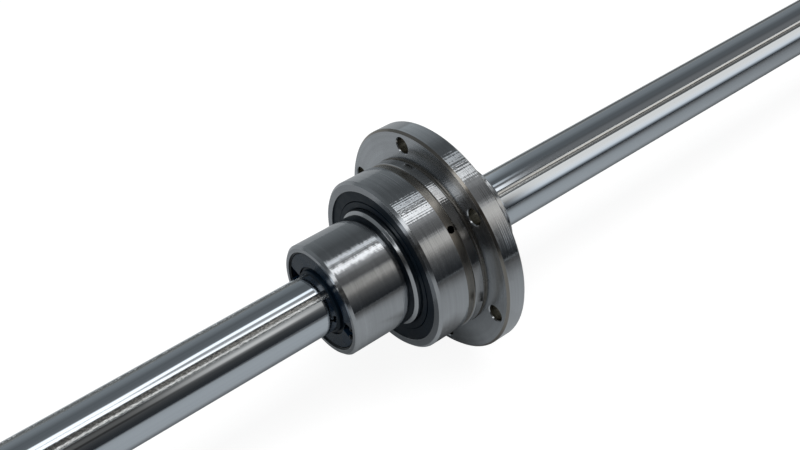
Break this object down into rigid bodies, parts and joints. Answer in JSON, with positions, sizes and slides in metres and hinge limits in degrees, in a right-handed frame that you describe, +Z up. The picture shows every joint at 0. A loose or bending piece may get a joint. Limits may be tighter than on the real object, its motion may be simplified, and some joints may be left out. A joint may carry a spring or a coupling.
{
  "type": "rotary ball spline",
  "caption": "Grooved shaft sliding on recirculating balls through a splined nut that spins on a double-row bearing inside a flanged outer ring.",
  "frame": {"origin": "on the shaft's axis, in the plane of the flange's mounting face, at the centre of its bolt circle", "axes": "+X along the shaft, from the flange's mounting face towards its back and the shaft's long end; +Z up, square to the shaft, halfway between the upper pair of ball grooves"},
  "size_m": [0.35, 0.064, 0.064],
  "materials": {
    "shaft_steel": "ground and polished, mirror bright along the shaft",
    "nut_steel": "ground, fine marks round the axis",
    "ring_steel": "ground, fine marks round the axis, grooves left unground",
    "retainer_steel": "pressed, satin",
    "spring_steel": "blackened",
    "ball_steel": "polished",
    "cap_plastic": "moulded, glossy blue-black",
    "cage_plastic": "moulded, natural",
    "wiper_rubber": "smooth, dark",
    "seal_rubber": "smooth, blue-black"
  },
  "bodies": {
    "outer_ring": {"flanged_outer_ring": "ring_steel", "front_bearing_seal": "seal_rubber", "rear_bearing_seal": "seal_rubber"},
    "nut": {"spline_nut": "nut_steel", "ball_retainer_bars": "retainer_steel", "front_upper_end_cap": "cap_plastic", "front_lower_end_cap": "cap_plastic", "rear_upper_end_cap": "cap_plastic", "rear_lower_end_cap": "cap_plastic", "front_wiper": "wiper_rubber", "rear_wiper": "wiper_rubber", "front_snap_ring": "spring_steel", "rear_snap_ring": "spring_steel", "upper_left_ball_circuit": "ball_steel", "upper_right_ball_circuit": "ball_steel", "lower_left_ball_circuit": "ball_steel", "lower_right_ball_circuit": "ball_steel"},
    "shaft": {"spline_shaft": "shaft_steel"},
    "front_row": {"front_bearing_balls": "ball_steel", "front_ball_cage": "cage_plastic"},
    "rear_row": {"rear_bearing_balls": "ball_steel", "rear_ball_cage": "cage_plastic"}
  },
  "joints": [
    {"name": "nut_spin", "type": "hinge", "parent": "outer_ring", "child": "nut", "pos_m": [0, 0, 0], "axis": [1, 0, 0], "continuous": true},
    {"name": "shaft_slide", "type": "slide", "parent": "nut", "child": "shaft", "axis": [1, 0, 0], "range_m": [-0.175, 0.117]},
    {"name": "front_row_roll", "type": "hinge", "parent": "outer_ring", "child": "front_row", "pos_m": [0, 0, 0], "axis": [1, 0, 0], "continuous": true},
    {"name": "rear_row_roll", "type": "hinge", "parent": "outer_ring", "child": "rear_row", "pos_m": [0, 0, 0], "axis": [1, 0, 0], "continuous": true}
  ],
  "couplings": [
    {"joint": "front_row_roll", "follows": "nut_spin", "ratio": 0.4432},
    {"joint": "rear_row_roll", "follows": "nut_spin", "ratio": 0.4432}
  ]
}
